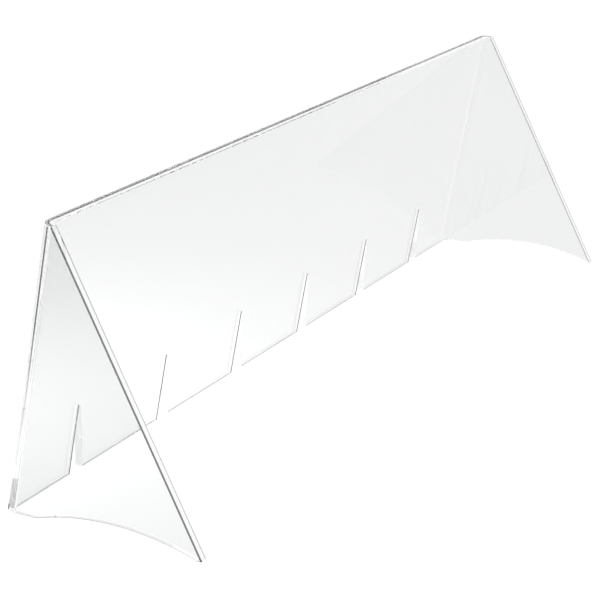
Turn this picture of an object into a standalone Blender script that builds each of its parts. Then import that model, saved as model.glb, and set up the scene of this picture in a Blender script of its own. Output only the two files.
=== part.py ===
"""Clear acrylic counter-top sneeze guard: a leaning shield panel between two triangular wings.

Metres, +Z up. The guard stands on z = 0, centred on x = 0 and y = 0. Its open side, where the wings reach
forward, faces -Y, and the top of the shield leans towards that side. Run with
    blender --background --python part.py
"""

import math

import bmesh
import bpy
from mathutils import Matrix, Vector

# Driving sizes
LENGTH = 0.610  # over the outer faces of the two wings
HEIGHT = 0.181  # floor to the highest edge of the shield
DEPTH = 0.137  # back foot of the shield to the front tips of the wings
SHEET = 0.0056  # sheet thickness, nominal quarter inch
LEAN = math.radians(10.9)  # the shield leans this far from the vertical
CORNER_RADIUS = 0.008  # outside radius where a wing turns off the shield
CEMENT_GAP = 0.0003  # hairline between cemented neighbours

# Notches in the shield's bottom edge
NOTCH_COUNT = 6
NOTCH_PITCH = 0.0945
NOTCH_MOUTH = 0.014  # width at the bottom edge
NOTCH_TIP = 0.001  # width at the closed end
NOTCH_HEIGHT = 0.0485  # up the face of the shield

# Wing feet and the arch between them
BACK_FOOT = 0.024  # from the shield's back foot line to the start of the arch
FRONT_FOOT = 0.003
ARCH_RISE = 0.0085
ARCH_STEPS = 28
CORNER_STEPS = 12

CLEARANCE = 0.03  # how far a cutter runs past what it cuts
BACK_Y = DEPTH / 2  # the shield's outer face meets the floor here
SLOPE_LENGTH = HEIGHT / math.cos(LEAN)  # up the outer face, floor to top edge

ACRYLIC = {"colour": (0.93, 0.96, 0.97, 0.25), "roughness": 0.04}


def clear_scene():
    for item in list(bpy.data.objects):
        bpy.data.objects.remove(item, do_unlink=True)


def new_collection(name):
    collection = bpy.data.collections.new(name)
    bpy.context.scene.collection.children.link(collection)
    return collection


def acrylic_material(name):
    material = bpy.data.materials.new(name)
    material.use_nodes = True
    material.diffuse_color = ACRYLIC["colour"]
    shader = material.node_tree.nodes["Principled BSDF"]
    shader.inputs["Base Color"].default_value = (*ACRYLIC["colour"][:3], 1.0)
    shader.inputs["Alpha"].default_value = ACRYLIC["colour"][3]
    shader.inputs["Roughness"].default_value = ACRYLIC["roughness"]
    shader.inputs["Metallic"].default_value = 0.0
    return material


def sheet_from_outline(name, outline, thickness, placement, collection):
    """A flat outline, in its own x and y, as a mesh sheet centred on its plane and then placed."""
    curve = bpy.data.curves.new(name + "_outline", "CURVE")
    curve.dimensions = "2D"
    curve.fill_mode = "BOTH"
    curve.extrude = thickness / 2
    spline = curve.splines.new("POLY")
    spline.points.add(len(outline) - 1)
    for point, (x, y) in zip(spline.points, outline):
        point.co = (x, y, 0.0, 1.0)
    spline.use_cyclic_u = True
    flat = bpy.data.objects.new(name + "_flat", curve)
    collection.objects.link(flat)
    bpy.context.view_layer.update()
    mesh = bpy.data.meshes.new_from_object(flat)
    bpy.data.objects.remove(flat, do_unlink=True)
    weld(mesh)
    solid = bpy.data.objects.new(name, mesh)
    solid.matrix_world = placement
    solid.data.materials.clear()
    solid.data.materials.append(acrylic_material(name + "_acrylic"))
    collection.objects.link(solid)
    return solid


def weld(mesh):
    edit = bmesh.new()
    edit.from_mesh(mesh)
    bmesh.ops.remove_doubles(edit, verts=edit.verts, dist=1e-6)
    bmesh.ops.recalc_face_normals(edit, faces=edit.faces)
    edit.to_mesh(mesh)
    edit.free()


def floor_cutter(collection):
    """A block whose top is the floor, which levels the foot of whatever it is cut from."""
    bpy.ops.mesh.primitive_cube_add(size=1.0)
    cutter = bpy.context.object
    cutter.name = "floor_cutter"
    cutter.scale = (LENGTH + 2 * CLEARANCE, DEPTH + 2 * CLEARANCE, CLEARANCE)
    cutter.location = (0.0, 0.0, -CLEARANCE / 2)
    for owner in list(cutter.users_collection):
        owner.objects.unlink(cutter)
    collection.objects.link(cutter)
    cutter.hide_render = True
    cutter.display_type = "WIRE"
    return cutter


def cut_level(solid, cutter):
    modifier = solid.modifiers.new("level_foot", "BOOLEAN")
    modifier.operation = "DIFFERENCE"
    modifier.solver = "EXACT"
    modifier.object = cutter


def leaning_frame(x, offset):
    """Local y runs up the shield's slope from the floor line, and local z runs out of its outer face.

    The origin sits `offset` behind the outer face, towards the open side.
    """
    up = Vector((0.0, -math.sin(LEAN), math.cos(LEAN)))
    out = Vector((0.0, math.cos(LEAN), math.sin(LEAN)))
    along = up.cross(out)
    origin = Vector((x, BACK_Y, 0.0)) - out * offset
    return Matrix.Translation(origin) @ Matrix((along, up, out)).transposed().to_4x4()


def shield_outline():
    """The shield seen square on, from below the floor line up to its top edge, with the notches."""
    half = LENGTH / 2 - CORNER_RADIUS - CEMENT_GAP
    level_cut = 2 * SHEET * math.tan(LEAN)  # spare sheet below the outer foot line, cut off level
    row = (NOTCH_COUNT - 1) * NOTCH_PITCH + NOTCH_MOUTH
    points = [(-half, SLOPE_LENGTH), (-half, -level_cut)]
    for index in range(NOTCH_COUNT):
        straight_leg = -row / 2 + index * NOTCH_PITCH
        points.append((straight_leg, -level_cut))
        points.append((straight_leg, NOTCH_HEIGHT))
        points.append((straight_leg + NOTCH_TIP, NOTCH_HEIGHT))
        points.append((straight_leg + NOTCH_MOUTH, -level_cut))
    points.append((half, -level_cut))
    points.append((half, SLOPE_LENGTH))
    return points


def make_shield(parts, cutter):
    # local z points out of the outer face, and along = up x out is -X, so the outline is mirrored back
    placement = leaning_frame(0.0, SHEET / 2)
    outline = [(-x, y) for x, y in shield_outline()]
    shield = sheet_from_outline("front_panel", outline, SHEET, placement, parts)
    cut_level(shield, cutter)
    return shield


def corner_outline(side):
    """Quarter ring in plan, square to the slope, from the shield's end round to the wing's root."""
    centre_x = side * (LENGTH / 2 - CORNER_RADIUS)
    outer = []
    inner = []
    for step in range(CORNER_STEPS + 1):
        turn = math.pi / 2 * step / CORNER_STEPS
        across = side * math.sin(turn)
        back = math.cos(turn)
        outer.append((centre_x + CORNER_RADIUS * across, CORNER_RADIUS * (back - 1)))
        bore = CORNER_RADIUS - SHEET
        inner.append((centre_x + bore * across, bore * back - CORNER_RADIUS))
    return outer + inner[::-1]


def make_corner(name, side, parts, cutter):
    up = Vector((0.0, -math.sin(LEAN), math.cos(LEAN)))
    out = Vector((0.0, math.cos(LEAN), math.sin(LEAN)))
    along = Vector((1.0, 0.0, 0.0))
    spare = 2 * CORNER_RADIUS * math.tan(LEAN)  # length below the floor line, cut off level
    length = SLOPE_LENGTH + spare
    middle = Vector((0.0, BACK_Y, 0.0)) + up * (SLOPE_LENGTH - length / 2)
    placement = Matrix.Translation(middle) @ Matrix((along, out, up)).transposed().to_4x4()
    corner = sheet_from_outline(name, corner_outline(side), length, placement, parts)
    cut_level(corner, cutter)
    return corner


def arch_points(start, end):
    """Circular arc of the given rise between two floor points, ends left out."""
    half_span = (end - start) / 2
    radius = (half_span**2 + ARCH_RISE**2) / (2 * ARCH_RISE)
    reach = math.asin(half_span / radius)
    middle = (start + end) / 2
    points = []
    for step in range(1, ARCH_STEPS):
        turn = -reach + 2 * reach * step / ARCH_STEPS
        points.append((middle + radius * math.sin(turn), ARCH_RISE - radius * (1 - math.cos(turn))))
    return points


def wing_outline():
    """The wing from the side: distance forward of the back foot line, and height."""
    root = CORNER_RADIUS + CEMENT_GAP
    root_foot = (root / math.cos(LEAN), 0.0)
    root_top = (
        SLOPE_LENGTH * math.sin(LEAN) + root * math.cos(LEAN),
        SLOPE_LENGTH * math.cos(LEAN) - root * math.sin(LEAN),
    )
    arch_end = DEPTH - FRONT_FOOT
    feet = [root_foot, (BACK_FOOT, 0.0)]
    feet += arch_points(BACK_FOOT, arch_end)
    feet += [(arch_end, 0.0), (DEPTH, 0.0)]
    return feet + [root_top]


def make_wing(name, side, parts):
    # local x runs forward (-Y), local y up, so local z is -Y x +Z = -X
    middle = Vector((side * (LENGTH - SHEET) / 2, BACK_Y, 0.0))
    forward = Vector((0.0, -1.0, 0.0))
    up = Vector((0.0, 0.0, 1.0))
    placement = Matrix.Translation(middle) @ Matrix((forward, up, forward.cross(up))).transposed().to_4x4()
    return sheet_from_outline(name, wing_outline(), SHEET, placement, parts)


def main():
    clear_scene()
    parts = new_collection("sneeze_guard")
    cutters = new_collection("cutters")
    cutter = floor_cutter(cutters)
    make_shield(parts, cutter)
    for hand, side in (("left", -1), ("right", 1)):
        make_corner(hand + "_corner", side, parts, cutter)
        make_wing(hand + "_wing", side, parts)


main()
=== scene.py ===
"""Looks of the clear acrylic counter-top sneeze guard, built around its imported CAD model.

Metres, +Z up, in the CAD's frame: the guard stands on z = 0, its length runs along X, and its open side
faces -Y.
"""

import math

import bmesh
import bpy
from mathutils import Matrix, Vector

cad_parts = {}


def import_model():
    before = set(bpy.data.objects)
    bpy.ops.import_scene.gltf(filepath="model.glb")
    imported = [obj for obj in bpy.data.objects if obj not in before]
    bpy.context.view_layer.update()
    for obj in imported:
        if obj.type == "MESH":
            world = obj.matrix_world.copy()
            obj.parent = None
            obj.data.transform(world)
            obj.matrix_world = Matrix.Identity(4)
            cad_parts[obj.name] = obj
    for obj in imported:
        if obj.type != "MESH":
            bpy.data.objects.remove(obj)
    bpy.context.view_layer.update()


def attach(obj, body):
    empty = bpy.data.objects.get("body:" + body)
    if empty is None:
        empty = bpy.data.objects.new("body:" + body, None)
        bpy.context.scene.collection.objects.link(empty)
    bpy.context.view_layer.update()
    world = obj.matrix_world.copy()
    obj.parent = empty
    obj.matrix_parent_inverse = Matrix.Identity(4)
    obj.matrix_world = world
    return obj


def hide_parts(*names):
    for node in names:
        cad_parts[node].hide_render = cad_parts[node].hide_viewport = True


# The sheet work, as the CAD has it
LENGTH = 0.610
HEIGHT = 0.181
DEPTH = 0.137
SHEET = 0.0056
LEAN = math.radians(10.9)
CORNER_RADIUS = 0.008
CEMENT_GAP = 0.0003
NOTCH_COUNT = 6
NOTCH_PITCH = 0.0945
NOTCH_MOUTH = 0.014
NOTCH_TIP = 0.001
NOTCH_HEIGHT = 0.0485
BACK_FOOT = 0.024
FRONT_FOOT = 0.003
ARCH_RISE = 0.0085

SLOPE_LENGTH = HEIGHT / math.cos(LEAN)
LEVEL_CUT = 2 * SHEET * math.tan(LEAN)
UP = Vector((0.0, -math.sin(LEAN), math.cos(LEAN)))
OUT = Vector((0.0, math.cos(LEAN), math.sin(LEAN)))
FOOT_LINE = Vector((0.0, DEPTH / 2, 0.0))

# Shape of the cut edges
ARRIS = 0.00045  # rounding where a cut edge meets a face
SHIELD_STRIPS = (0.0012, 0.0026)  # where the first two bands of a cut wall end, past its outer arris
WING_STRIPS = (0.0007, 0.0038)
ARRIS_STEPS = 2
ARCH_STEPS = 72
CORNER_STEPS = 20
SMOOTH_ANGLE = math.radians(15)
MERGE_DISTANCE = 1e-6
PARALLEL = 1e-6  # outline edges whose directions cross by less than this are one line

# Stretches of a corner's outer arc, from the shield round to the wing
CREASE = (math.radians(72), math.radians(80))  # carries a painted dark line
HEEL = (0.0, math.radians(60))  # a near-black patch of painted shade at its foot
HEEL_HEIGHT = 0.0045

# Material slots of every piece
FACE, EDGE, FROST, SAWN_SHADE, FOOT, LINE, FAINT, BEND, FOLD, SEAM = range(10)

# Skin of the sheet. Each noise is its scale, in cells per metre, and its detail
ACRYLIC_IOR = 1.49
SHEET_TINT = (0.82, 0.827, 0.825)
BEND_TINT = (0.805, 0.811, 0.809)
HAIRLINE_DRAW = (6.0, 420.0, 420.0)  # noise cells per metre, along and across the scratches
HAIRLINE_DETAIL = 2.0
HAIRLINE_PEAKS = (0.68, 0.74)
HAIRLINE_TURNS = ((0.3, 0.5, 0.2), (0.2, -0.6, 1.1))
HAIRLINE_ROUGHNESS = 0.12
HAIRLINE_CUT = 0.05  # depth of a scratch, as a share of the swell
HAZE_NOISE = (12.0, 4.0)
HAZE_PEAKS = (0.35, 0.75)
HAZE_ROUGHNESS = 0.02
SWELL_NOISE = (9.0, 1.0)
SWELL_DEPTH = 0.00004

# Cut walls and the films that mask them; the grey and dark films are painted shade
POLISHED_TINT = (0.98, 0.985, 0.985)
CUT_TINT = (0.97, 0.975, 0.975)
# painted shade: near-black and grey tints for the lines along the arrises and the top band, where the edges
# look dark
GREY_LINE_SHADE_TINT = (0.28, 0.288, 0.288)
DARK_LINE_SHADE_TINT = (0.03, 0.032, 0.032)
FROST_FILM = (0.87, 0.875, 0.875)
# painted shade: the grey foot film, the dark crease film and the near-black film of the sawn walls
FOOT_SHADE_FILM = (0.30, 0.30, 0.30)
FOLD_SHADE_FILM = (0.10, 0.10, 0.10)
SAWN_SHADE_FILM = (0.03, 0.03, 0.03)
PATCH_NOISE = (60.0, 3.0)
MOTTLE_NOISE = (180.0, 2.0)
MOTTLE = 0.1  # how much an even film's share wanders
NOISE_MIDDLE = (0.3, 0.7)
WAVE_BAND = 2 * math.pi / 20  # height of one band of the wave texture at scale 1
WAVE_DISTORTION = 1.5
WAVE_DETAIL = 2.0
FILM_ROUGHNESS = 0.6
ALONG_RANGE = (0.12, 0.40)  # facing, where a film starts to show and where it shows most
FOLD_FADE = (0.045, 0.12)  # the painted dark line on the bend fades out between these heights, darker towards the top

# Studio
FLOOR_REACH = 12.0
FLOOR_DROP = 0.0002
FLOOR_WHITE = 0.95
FLOOR_ROUGHNESS = 0.9
STUDIO_STRENGTH = 1.085
SOFTBOX_PLACE = Vector((-0.28, 0.27, 0.26))
SOFTBOX_AIM = Vector((-0.13, 0.18, 0.0))
SOFTBOX_SIZE = 0.20
SOFTBOX_SPREAD = math.radians(110)
SOFTBOX_WATTS = 0.22
LIGHT_BOUNCES = 96  # light runs a long way inside clear sheet

# Camera
EYE = Vector((-1.0896, -0.5653, 0.4783))
VIEW_TURN = math.radians(61.02)  # from +Y towards +X
VIEW_DROP = math.radians(16.24)  # below the horizontal
LENS = 111.45  # mm, on the default sensor
SHIFT_Y = -0.1667
CLIP_START = 0.01
CLIP_END = 50


# ---------------------------------------------------------------- geometry


def inset_outline(points, insets):
    """An anticlockwise outline moved in by insets[i] at the edge from point i to point i + 1."""
    count = len(points)
    lines = []
    for i in range(count):
        a = Vector(points[i])
        b = Vector(points[(i + 1) % count])
        along = (b - a).normalized()
        inward = Vector((-along.y, along.x))
        lines.append((a + inward * insets[i], along))
    moved = []
    for i in range(count):
        p, d = lines[i - 1]
        q, e = lines[i]
        cross = d.x * e.y - d.y * e.x
        if abs(cross) < PARALLEL:
            moved.append(q)
        else:
            gap = q - p
            moved.append(p + d * ((gap.x * e.y - gap.y * e.x) / cross))
    return moved


def arris_profile():
    """(share of the arris moved in, share of the arris below the face) from the face round to the wall."""
    steps = []
    for step in range(ARRIS_STEPS + 1):
        turn = math.pi / 2 * step / ARRIS_STEPS
        steps.append((1 - math.sin(turn), 1 - math.cos(turn)))
    return steps


def loft(name, rings, edge_slots, cap_slots, striped=False):
    """A closed solid through rings of points, the same number in each, with a slot for each of its two caps.

    edge_slots gives each outline edge five slots: its first arris, three bands of its wall, its last arris.
    The last cap of a striped solid is laid in strips that carry on the shield's top edge.
    """
    mesh = bpy.data.meshes.new(name)
    bm = bmesh.new()
    made = [[bm.verts.new(p) for p in ring] for ring in rings]
    count = len(rings[0])
    bands = [0] * ARRIS_STEPS + [1, 2, 3] + [4] * ARRIS_STEPS
    for low, high, band in zip(made, made[1:], bands):
        for i in range(count):
            j = (i + 1) % count
            face = bm.faces.new((low[i], low[j], high[j], high[i]))
            face.material_index = edge_slots[i][band]
    bm.faces.new(made[0][::-1]).material_index = cap_slots[0]
    if striped:
        lay_strips(bm, made[-1], TOP_BAND[1:4])
    else:
        bm.faces.new(made[-1]).material_index = cap_slots[1]
    bmesh.ops.remove_doubles(bm, verts=bm.verts, dist=MERGE_DISTANCE)
    bmesh.ops.recalc_face_normals(bm, faces=bm.faces)
    bm.to_mesh(mesh)
    bm.free()
    mesh.shade_smooth()
    mesh.set_sharp_from_angle(angle=SMOOTH_ANGLE)
    piece = bpy.data.objects.new(name, mesh)
    bpy.context.scene.collection.objects.link(piece)
    return piece


def lay_strips(bm, ring, strip_slots):
    """Fill a corner's cap between its outer and its inner arc with one row of quads for each strip.

    The ring runs along the outer arc, across the first seam in as many steps as there are strips, back along
    the inner arc, and across the other seam.
    """
    across = len(strip_slots)
    outer = ring[: CORNER_STEPS + 1]
    inner = ring[CORNER_STEPS + across : 2 * CORNER_STEPS + across + 1][::-1]
    first_seam = ring[CORNER_STEPS : CORNER_STEPS + across + 1]
    last_seam = [ring[0]] + ring[: 2 * CORNER_STEPS + across - 1 : -1]
    rows = [last_seam]
    for k in range(1, CORNER_STEPS):
        row = [outer[k]]
        for step in range(1, across):
            share = (first_seam[step].co - outer[-1].co).length / (inner[-1].co - outer[-1].co).length
            row.append(bm.verts.new(outer[k].co.lerp(inner[k].co, share)))
        rows.append(row + [inner[k]])
    rows.append(first_seam)
    for row, after in zip(rows, rows[1:]):
        for step, slot in enumerate(strip_slots):
            face = bm.faces.new((row[step], after[step], after[step + 1], row[step + 1]))
            face.material_index = slot


def depth_steps(thickness, strips):
    """(share moved in, depth below the first face) through a sheet whose two arrises are rounded."""
    near = [(share, drop * ARRIS) for share, drop in arris_profile()]
    far = [(share, thickness - depth) for share, depth in reversed(near)]
    return near + [(0.0, ARRIS + strip) for strip in strips] + far


# Five slots for each kind of cut edge, from the outer face round to the inner face: an arris, three bands of
# the wall, and the other arris. The dark and grey slots are painted shade lines. Only the left wing's foot
# has a dark outer arris, painted shade along its arch
JOINED = (SEAM,) * 5
TOP_BAND = (FAINT, FAINT, LINE, FROST, EDGE)
# the shield's foot carries a grey band of painted shade
SHIELD_FOOT = (FAINT, FOOT, FOOT, FOOT, FAINT)
LEFT_WING_FOOT = (LINE, EDGE, EDGE, EDGE, EDGE)
RIGHT_WING_FOOT = (EDGE,) * 5
STRAIGHT_LEG = (EDGE, EDGE, EDGE, SAWN_SHADE, LINE)
SLANTED_LEG = (FROST,) * 5
WING_FRONT = (LINE, LINE, FROST, FAINT, FAINT)


def shield_outline(floor):
    """Anticlockwise, up the slope as y: each point with the slots of the edge that starts there."""
    half = LENGTH / 2 - CORNER_RADIUS - CEMENT_GAP
    row = (NOTCH_COUNT - 1) * NOTCH_PITCH + NOTCH_MOUTH
    share = (NOTCH_HEIGHT - floor) / (NOTCH_HEIGHT + LEVEL_CUT)
    mouth = NOTCH_TIP + (NOTCH_MOUTH - NOTCH_TIP) * share
    points = [((-half, SLOPE_LENGTH), JOINED), ((-half, floor), SHIELD_FOOT)]
    for index in range(NOTCH_COUNT):
        leg = -row / 2 + index * NOTCH_PITCH
        points.append(((leg, floor), STRAIGHT_LEG))
        points.append(((leg, NOTCH_HEIGHT), STRAIGHT_LEG))
        points.append(((leg + NOTCH_TIP, NOTCH_HEIGHT), SLANTED_LEG))
        points.append(((leg + mouth, floor), SHIELD_FOOT))
    points.append(((half, floor), JOINED))
    points.append(((half, SLOPE_LENGTH), TOP_BAND))
    return points


def make_shield(name):
    rings = []
    for share, depth in depth_steps(SHEET, SHIELD_STRIPS):
        outline = shield_outline(depth * math.tan(LEAN))
        insets = [0.0 if slots == JOINED else share * ARRIS for _, slots in outline]
        ring = inset_outline([p for p, _ in outline], insets)
        rings.append([FOOT_LINE + Vector((p.x, 0, 0)) + UP * p.y - OUT * depth for p in ring])
    return loft(name, rings, [slots for _, slots in shield_outline(0.0)], (FACE, FACE))


def corner_section(side):
    """The section square to the slope, as (x, depth behind the outer face), and five slots for each edge.

    An edge's slots run from the foot up: an arris, the heel, the bend, the last of it, and the top arris.
    """
    centre = LENGTH / 2 - CORNER_RADIUS
    outer, inner = [], []
    for step in range(CORNER_STEPS + 1):
        turn = math.pi / 2 * step / CORNER_STEPS
        outer.append((centre + CORNER_RADIUS * math.sin(turn), CORNER_RADIUS * (1 - math.cos(turn))))
        bore = CORNER_RADIUS - SHEET
        inner.append((centre + bore * math.sin(turn), CORNER_RADIUS - bore * math.cos(turn)))
    wing_seam = [(centre + CORNER_RADIUS - ARRIS - strip, CORNER_RADIUS) for strip in SHIELD_STRIPS]
    shield_seam = [(centre, ARRIS + strip) for strip in SHIELD_STRIPS]
    points = outer + wing_seam + inner[::-1] + shield_seam[::-1]
    edges = [(EDGE, BEND, BEND, BEND, EDGE)] * CORNER_STEPS
    seam = [JOINED] * (len(SHIELD_STRIPS) + 1)
    slots = edges + seam + edges + seam
    for step in range(CORNER_STEPS):
        middle = math.pi / 2 * (step + 0.5) / CORNER_STEPS
        # painted shade: a dark line at the crease, and a near-black patch at the heel
        wall = FOLD if CREASE[0] < middle < CREASE[1] else BEND
        heel = SAWN_SHADE if HEEL[0] < middle < HEEL[1] else wall
        slots[step] = (heel, heel, wall, wall, EDGE)
    return [(side * x, d) for x, d in points], slots


def make_corner(name, side):
    section, slots = corner_section(side)
    flat = [(x, -d) for x, d in section]
    signed = sum(a[0] * b[1] - b[0] * a[1] for a, b in zip(flat, flat[1:] + flat[:1]))
    if signed < 0:
        # the same ring walked the other way, still starting on the outer arc
        flat = flat[CORNER_STEPS::-1] + flat[:CORNER_STEPS:-1]
        slots = slots[CORNER_STEPS - 1 :: -1] + slots[: CORNER_STEPS - 1 : -1]
    rings = []
    profile = arris_profile()
    levels = [(share, drop * ARRIS, False) for share, drop in profile]
    levels += [(0.0, HEEL_HEIGHT, False), (0.0, 2 * ARRIS, True)]
    levels += [(share, drop * ARRIS, True) for share, drop in reversed(profile)]
    for share, step, top in levels:
        insets = [0.0 if edge == JOINED else share * ARRIS for edge in slots]
        ring = []
        for p in inset_outline(flat, insets):
            depth = -p.y
            height = SLOPE_LENGTH - step if top else depth * math.tan(LEAN) + step
            ring.append(FOOT_LINE + Vector((p.x, 0, 0)) - OUT * depth + UP * height)
        rings.append(ring)
    return loft(name, rings, slots, (EDGE, EDGE), striped=True)


def wing_outline():
    """Distance forward of the back foot line and height, anticlockwise. The last edge is the seam."""
    root = CORNER_RADIUS + CEMENT_GAP
    foot = root / math.cos(LEAN)
    top = (
        SLOPE_LENGTH * math.sin(LEAN) + root * math.cos(LEAN),
        SLOPE_LENGTH * math.cos(LEAN) - root * math.sin(LEAN),
    )
    arch_end = DEPTH - FRONT_FOOT
    half_span = (arch_end - BACK_FOOT) / 2
    middle = (arch_end + BACK_FOOT) / 2
    radius = (half_span**2 + ARCH_RISE**2) / (2 * ARCH_RISE)
    reach = math.asin(half_span / radius)
    points = [(foot, 0.0), (BACK_FOOT, 0.0)]
    for step in range(1, ARCH_STEPS):
        turn = -reach + 2 * reach * step / ARCH_STEPS
        points.append((middle + radius * math.sin(turn), ARCH_RISE - radius * (1 - math.cos(turn))))
    points += [(arch_end, 0.0), (DEPTH, 0.0), top]
    return points


def make_wing(name, side):
    outline = wing_outline()
    seams = [False] * (len(outline) - 1) + [True]
    rings = []
    for share, depth in depth_steps(SHEET, WING_STRIPS):
        insets = [0.0 if seam else share * ARRIS for seam in seams]
        ring = inset_outline(outline, insets)
        x = side * (LENGTH / 2 - depth)
        rings.append([Vector((x, DEPTH / 2 - p.x, p.y)) for p in ring])
    foot = RIGHT_WING_FOOT if side > 0 else LEFT_WING_FOOT
    edges = [foot] * (len(outline) - 2) + [WING_FRONT, JOINED]
    return loft(name, rings, edges, (FACE, FACE))


# ---------------------------------------------------------------- materials


def new_material(name):
    material = bpy.data.materials.new(name)
    material.use_nodes = True
    nodes = material.node_tree.nodes
    return material, nodes, material.node_tree.links, nodes["Principled BSDF"]


def span(nodes, links, value, source, target):
    """Map a value from one range to another, clamped at both ends."""
    node = nodes.new("ShaderNodeMapRange")
    node.inputs["From Min"].default_value, node.inputs["From Max"].default_value = source
    node.inputs["To Min"].default_value, node.inputs["To Max"].default_value = target
    links.new(value, node.inputs["Value"])
    return node.outputs["Result"]


def combine(nodes, links, operation, first, second):
    node = nodes.new("ShaderNodeMath")
    node.operation = operation
    links.new(first, node.inputs[0])
    links.new(second, node.inputs[1])
    return node.outputs["Value"]


def noise(nodes, links, vector, scale, detail):
    """Noise with the given number of cells to a unit of the vector."""
    node = nodes.new("ShaderNodeTexNoise")
    node.inputs["Scale"].default_value = scale
    node.inputs["Detail"].default_value = detail
    links.new(vector, node.inputs["Vector"])
    return node.outputs["Fac"]


def object_place(nodes):
    return nodes.new("ShaderNodeTexCoord").outputs["Object"]


def hairlines(nodes, links, turn):
    """Thin wiping scratches: noise drawn out along one direction, of which only the peaks are kept."""
    drawn = nodes.new("ShaderNodeMapping")
    drawn.inputs["Rotation"].default_value = turn
    drawn.inputs["Scale"].default_value = HAIRLINE_DRAW
    links.new(object_place(nodes), drawn.inputs["Vector"])
    streaks = noise(nodes, links, drawn.outputs["Vector"], 1.0, HAIRLINE_DETAIL)
    return span(nodes, links, streaks, HAIRLINE_PEAKS, (0.0, 1.0))


def saw_marks(nodes, links, pitch):
    """Fine wavering bands up a cut wall."""
    wave = nodes.new("ShaderNodeTexWave")
    wave.bands_direction = "Z"
    wave.inputs["Scale"].default_value = WAVE_BAND / pitch
    wave.inputs["Distortion"].default_value = WAVE_DISTORTION
    wave.inputs["Detail"].default_value = WAVE_DETAIL
    links.new(object_place(nodes), wave.inputs["Vector"])
    return wave.outputs["Fac"]


def bump(nodes, links, shader, height, depth):
    node = nodes.new("ShaderNodeBump")
    node.inputs["Strength"].default_value = 1.0
    node.inputs["Distance"].default_value = depth
    links.new(height, node.inputs["Height"])
    links.new(node.outputs["Normal"], shader.inputs["Normal"])


def clear_shader(name, tint):
    material, nodes, links, shader = new_material(name)
    shader.inputs["Base Color"].default_value = (*tint, 1.0)
    shader.inputs["Transmission Weight"].default_value = 1.0
    shader.inputs["IOR"].default_value = ACRYLIC_IOR
    return material, nodes, links, shader


def sheet_face(name, tint):
    """Cast sheet's own skin: almost a mirror, faintly wavy, with crossing wiping scratches."""
    material, nodes, links, shader = clear_shader(name, tint)
    scratches = combine(nodes, links, "MAXIMUM", *(hairlines(nodes, links, turn) for turn in HAIRLINE_TURNS))
    clouds = noise(nodes, links, object_place(nodes), *HAZE_NOISE)
    haze = span(nodes, links, clouds, HAZE_PEAKS, (0.0, HAZE_ROUGHNESS))
    scuffs = span(nodes, links, scratches, (0.0, 1.0), (0.0, HAIRLINE_ROUGHNESS))
    links.new(combine(nodes, links, "ADD", haze, scuffs), shader.inputs["Roughness"])
    swell = noise(nodes, links, object_place(nodes), *SWELL_NOISE)
    cuts = span(nodes, links, scratches, (0.0, 1.0), (0.0, HAIRLINE_CUT))
    bump(nodes, links, shader, combine(nodes, links, "SUBTRACT", swell, cuts), SWELL_DEPTH)
    return material


def cut_edge(name, tint, roughness, pitch, depth):
    """A cut wall or arris: its roughness wanders in a range, over cutter marks of a given pitch and depth."""
    material, nodes, links, shader = clear_shader(name, tint)
    patches = noise(nodes, links, object_place(nodes), *PATCH_NOISE)
    links.new(span(nodes, links, patches, NOISE_MIDDLE, roughness), shader.inputs["Roughness"])
    bump(nodes, links, shader, saw_marks(nodes, links, pitch), depth)
    return material


def film_over(material, film, share):
    """Mix a grey scattering film over a clear cut edge, by the share that the given function makes."""
    nodes, links = material.node_tree.nodes, material.node_tree.links
    coat = nodes.new("ShaderNodeBsdfPrincipled")
    coat.inputs["Base Color"].default_value = (*film, 1.0)
    coat.inputs["Roughness"].default_value = FILM_ROUGHNESS
    mix = nodes.new("ShaderNodeMixShader")
    links.new(share(nodes, links), mix.inputs["Fac"])
    links.new(nodes["Principled BSDF"].outputs["BSDF"], mix.inputs[1])
    links.new(coat.outputs["BSDF"], mix.inputs[2])
    links.new(mix.outputs["Shader"], nodes["Material Output"].inputs["Surface"])
    return material


def along_share(most):
    """Nothing seen square on, and the most seen along the wall: painted shade that darkens a wall the more
    edge-on it is seen.
    """

    def make(nodes, links):
        facing = nodes.new("ShaderNodeLayerWeight").outputs["Facing"]
        return span(nodes, links, facing, ALONG_RANGE, (0.0, most))

    return make


def even_share(most):
    """The same everywhere, apart from a slight mottle."""

    def make(nodes, links):
        mottle = noise(nodes, links, object_place(nodes), *MOTTLE_NOISE)
        return span(nodes, links, mottle, NOISE_MIDDLE, (most - MOTTLE, most))

    return make


def crease_shade_share(most, heights):
    """As along_share, fading out down the bend between two heights: a painted dark line, darker towards the
    top.
    """

    def make(nodes, links):
        split = nodes.new("ShaderNodeSeparateXYZ")
        links.new(object_place(nodes), split.inputs["Vector"])
        fade = span(nodes, links, split.outputs["Z"], heights, (0.0, 1.0))
        return combine(nodes, links, "MULTIPLY", along_share(most)(nodes, links), fade)

    return make


def seam_material(name):
    """Cement that bends light as the sheet does, so light goes straight across the hairline gap."""
    material, _, _, shader = new_material(name)
    shader.inputs["Base Color"].default_value = (1.0, 1.0, 1.0, 1.0)
    shader.inputs["Transmission Weight"].default_value = 1.0
    shader.inputs["IOR"].default_value = 1.0
    shader.inputs["Roughness"].default_value = 0.0
    return material


def floor_material(name):
    material, _, _, shader = new_material(name)
    shader.inputs["Base Color"].default_value = (FLOOR_WHITE, FLOOR_WHITE, FLOOR_WHITE, 1.0)
    shader.inputs["Roughness"].default_value = FLOOR_ROUGHNESS
    return material


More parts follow.
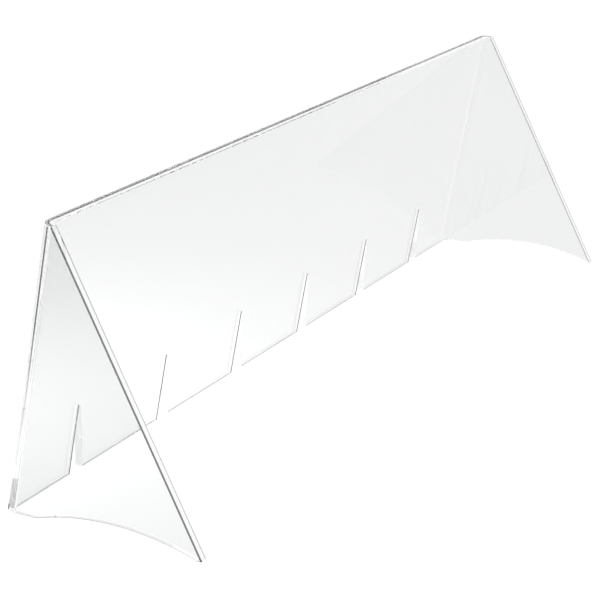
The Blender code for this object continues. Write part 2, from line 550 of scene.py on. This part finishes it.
def finishes():
    """One material for each slot, in the slots' order."""
    polished = cut_edge("polished_edge", POLISHED_TINT, roughness=(0.02, 0.05), pitch=0.0009, depth=0.000004)
    frosted = cut_edge("frosted_edge", CUT_TINT, roughness=(0.15, 0.30), pitch=0.0007, depth=0.00001)
    sawn = cut_edge("sawn_edge_painted_shade", CUT_TINT, roughness=(0.05, 0.20), pitch=0.0007, depth=0.00002)
    level_foot = cut_edge("level_foot", CUT_TINT, roughness=(0.15, 0.30), pitch=0.0005, depth=0.00001)
    made = {
        FACE: sheet_face("clear_acrylic", SHEET_TINT),
        EDGE: polished,
        FROST: film_over(frosted, FROST_FILM, even_share(0.85)),
        # painted shade: a near-black film on the notches' straight walls and the corners' heels, over the
        # walls' own roughness and saw marks
        SAWN_SHADE: film_over(sawn, SAWN_SHADE_FILM, along_share(1.0)),
        # painted shade: a grey film along the shield's foot, darker seen edge-on
        FOOT: film_over(level_foot, FOOT_SHADE_FILM, along_share(0.6)),
        # painted shade lines along the arrises, near-black and grey
        LINE: cut_edge("arris_painted_dark_line", DARK_LINE_SHADE_TINT, roughness=(0.10, 0.25), pitch=0.0006, depth=0.00001),
        FAINT: cut_edge("arris_painted_grey_line", GREY_LINE_SHADE_TINT, roughness=(0.10, 0.25), pitch=0.0006, depth=0.00001),
        BEND: sheet_face("bent_acrylic", BEND_TINT),
        # painted shade: a dark line down each bend, darker towards the top
        FOLD: film_over(sheet_face("bend_painted_dark_line", BEND_TINT), FOLD_SHADE_FILM, crease_shade_share(1.0, FOLD_FADE)),
        SEAM: seam_material("cemented_seam"),
    }
    return [made[slot] for slot in sorted(made)]


# ---------------------------------------------------------------- scene


def add_softbox():
    """A pool of light on the floor behind the left end, which makes that end look clearer than the other."""
    light = bpy.data.lights.new("softbox", "AREA")
    light.shape = "SQUARE"
    light.size = SOFTBOX_SIZE
    light.spread = SOFTBOX_SPREAD
    light.energy = SOFTBOX_WATTS
    lamp = bpy.data.objects.new("softbox", light)
    lamp.location = SOFTBOX_PLACE
    lamp.rotation_mode = "QUATERNION"
    lamp.rotation_quaternion = (SOFTBOX_AIM - SOFTBOX_PLACE).to_track_quat("-Z", "Y")
    bpy.context.scene.collection.objects.link(lamp)


def add_floor():
    mesh = bpy.data.meshes.new("floor")
    signs = ((-1, -1), (1, -1), (1, 1), (-1, 1))
    mesh.from_pydata([(x * FLOOR_REACH, y * FLOOR_REACH, 0) for x, y in signs], [], [(0, 1, 2, 3)])
    floor = bpy.data.objects.new("floor", mesh)
    floor.location = (0, 0, -FLOOR_DROP)
    floor.data.materials.append(floor_material("floor_paper"))
    bpy.context.scene.collection.objects.link(floor)


def add_world():
    """An even white studio all round."""
    world = bpy.data.worlds.new("studio")
    world.use_nodes = True
    background = world.node_tree.nodes["Background"]
    background.inputs["Color"].default_value = (1.0, 1.0, 1.0, 1.0)
    background.inputs["Strength"].default_value = STUDIO_STRENGTH
    world.cycles.sampling_method = "NONE"
    bpy.context.scene.world = world


def add_camera():
    data = bpy.data.cameras.new("camera")
    data.lens = LENS
    data.shift_y = SHIFT_Y
    data.clip_start = CLIP_START
    data.clip_end = CLIP_END
    camera = bpy.data.objects.new("camera", data)
    forward = Vector(
        (
            math.sin(VIEW_TURN) * math.cos(VIEW_DROP),
            math.cos(VIEW_TURN) * math.cos(VIEW_DROP),
            -math.sin(VIEW_DROP),
        )
    )
    camera.location = EYE
    camera.rotation_mode = "QUATERNION"
    camera.rotation_quaternion = forward.to_track_quat("-Z", "Y")
    bpy.context.scene.collection.objects.link(camera)
    bpy.context.scene.camera = camera


def main():
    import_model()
    materials = finishes()
    made = [(make_shield("shield_sheet"), "front_panel")]
    for hand, side in (("left", -1), ("right", 1)):
        made.append((make_corner(hand + "_corner_bend", side), hand + "_corner"))
        made.append((make_wing(hand + "_wing_sheet", side), hand + "_wing"))
    for piece, node in made:
        for material in materials:
            piece.data.materials.append(material)
        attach(piece, "root")
        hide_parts(node)
        # hidden so that the floor stays white up to the feet, and so that the shield mirrors no wing
        piece.visible_shadow = False
        piece.visible_diffuse = False
        piece.visible_glossy = not node.endswith("wing")
    add_floor()
    add_world()
    add_softbox()
    add_camera()
    scene = bpy.context.scene
    scene.view_settings.view_transform = "Standard"
    scene.cycles.max_bounces = LIGHT_BOUNCES
    scene.cycles.transmission_bounces = LIGHT_BOUNCES
    scene.cycles.glossy_bounces = LIGHT_BOUNCES


main()
